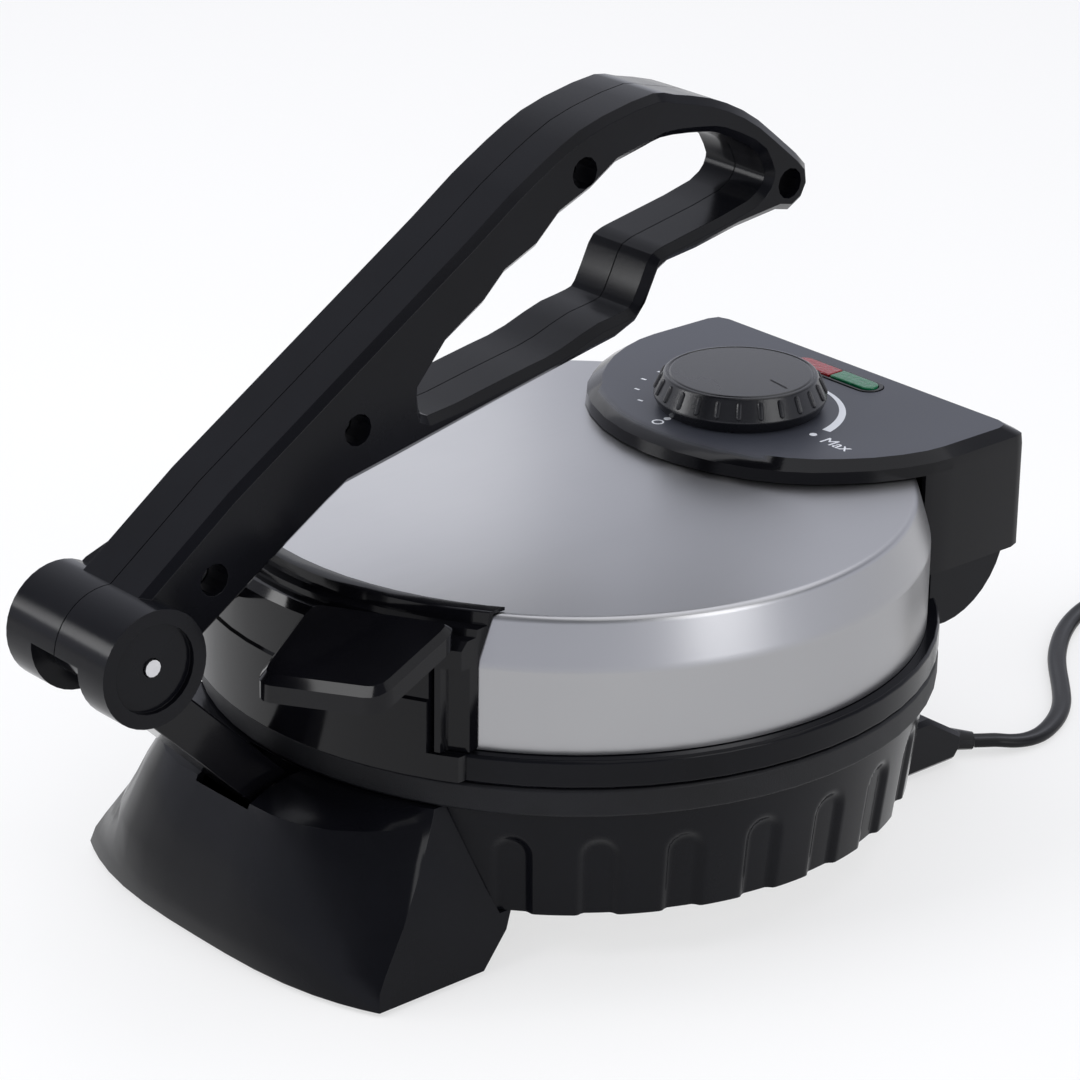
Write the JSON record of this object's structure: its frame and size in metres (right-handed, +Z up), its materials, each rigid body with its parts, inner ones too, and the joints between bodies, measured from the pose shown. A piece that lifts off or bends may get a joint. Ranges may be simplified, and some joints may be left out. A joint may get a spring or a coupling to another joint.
{
  "type": "tortilla maker",
  "caption": "Round countertop cooker with a hinged heated lid, a pressing lever on a link arm, a thermostat knob and a mains lead.",
  "frame": {"origin": "on the surface that it stands on, under the middle of the object's box without the cord", "axes": "+Z up, -Y towards the user and the lever's hub, +Y towards the lid hinge, +X to the right"},
  "size_m": [0.232, 0.5122, 0.2336],
  "materials": {
    "moulded_black": "satin moulded heat-resistant plastic",
    "textured_black": "fine spark-eroded texture",
    "gloss_black": "polished moulded plastic",
    "brushed_steel": "satin brushed stainless steel",
    "tray_steel": "plain pressed sheet",
    "cast_plate": "cast, dark non-stick coat",
    "element_steel": "heat-tinted tube",
    "zinc_steel": "zinc plated",
    "pad_rubber": "soft matte",
    "cord_black": "flexible, slightly shiny",
    "ceramic": "unglazed",
    "red_lens": "clear red plastic lens",
    "green_lens": "clear green plastic lens",
    "brass": "bright"
  },
  "bodies": {
    "base": {"base_bowl": "moulded_black", "base_ring": "textured_black", "base_cover": "tray_steel", "front_foot": "moulded_black", "front_foot_plate": "moulded_black", "rear_foot": "moulded_black", "foot_pad_1": "pad_rubber", "foot_pad_2": "pad_rubber", "foot_pad_3": "pad_rubber", "foot_pad_4": "pad_rubber", "cover_screw_1": "zinc_steel", "cover_screw_2": "zinc_steel", "cover_screw_3": "zinc_steel", "cover_screw_4": "zinc_steel", "lower_plate": "cast_plate", "lower_element": "element_steel", "lower_reflector": "tray_steel", "terminal_block": "ceramic", "hinge_cover": "moulded_black", "hinge_bracket_left": "zinc_steel", "hinge_bracket_right": "zinc_steel", "hinge_pin": "zinc_steel", "link_pivot_pin": "zinc_steel", "strain_relief": "cord_black", "power_cord": "cord_black", "cord_coil": "cord_black", "cord_tie": "cord_black", "plug_body": "cord_black", "plug_blade_1": "brass", "plug_blade_2": "brass"},
    "lid": {"lid_ring": "moulded_black", "upper_plate": "cast_plate", "upper_element": "element_steel", "upper_reflector": "tray_steel", "steel_cover": "brushed_steel", "front_housing": "gloss_black", "control_panel": "moulded_black", "thermostat_body": "ceramic", "lamp_holder": "gloss_black", "red_lens": "red_lens", "green_lens": "green_lens"},
    "knob": {"thermostat_knob": "gloss_black", "knob_shaft": "zinc_steel"},
    "link": {"link_arm": "gloss_black"},
    "hub": {"hub_sleeve": "zinc_steel", "hub_pin": "zinc_steel"},
    "lever": {"lever_left": "moulded_black", "lever_right": "moulded_black", "lever_screw_1": "zinc_steel", "lever_screw_2": "zinc_steel", "lever_screw_3": "zinc_steel", "lever_screw_4": "zinc_steel"}
  },
  "joints": [
    {"name": "lid_hinge", "type": "hinge", "parent": "base", "child": "lid", "pos_m": [0, 0.1305, 0.0841], "axis": [-1, 0, 0], "range_deg": [0, 86]},
    {"name": "thermostat_knob_turn", "type": "hinge", "parent": "lid", "child": "knob", "pos_m": [0, 0.1037, 0.1206], "axis": [0, 0, -1], "range_deg": [0, 270]},
    {"name": "link_swing", "type": "hinge", "parent": "base", "child": "link", "pos_m": [0, -0.09151, 0.04496], "axis": [1, 0, 0], "range_deg": [0, 4]},
    {"name": "lever_swing", "type": "hinge", "parent": "link", "child": "hub", "pos_m": [0, -0.1444, 0.1052], "axis": [1, 0, 0], "range_deg": [0, 121]},
    {"name": "lever_press", "type": "hinge", "parent": "hub", "child": "lever", "pos_m": [0, -0.1444, 0.1052], "axis": [1, 0, 0], "range_deg": [-11, 0]}
  ],
  "couplings": [
    {"joint": "lever_swing", "follows": "lid_hinge", "ratio": 1.4}
  ]
}
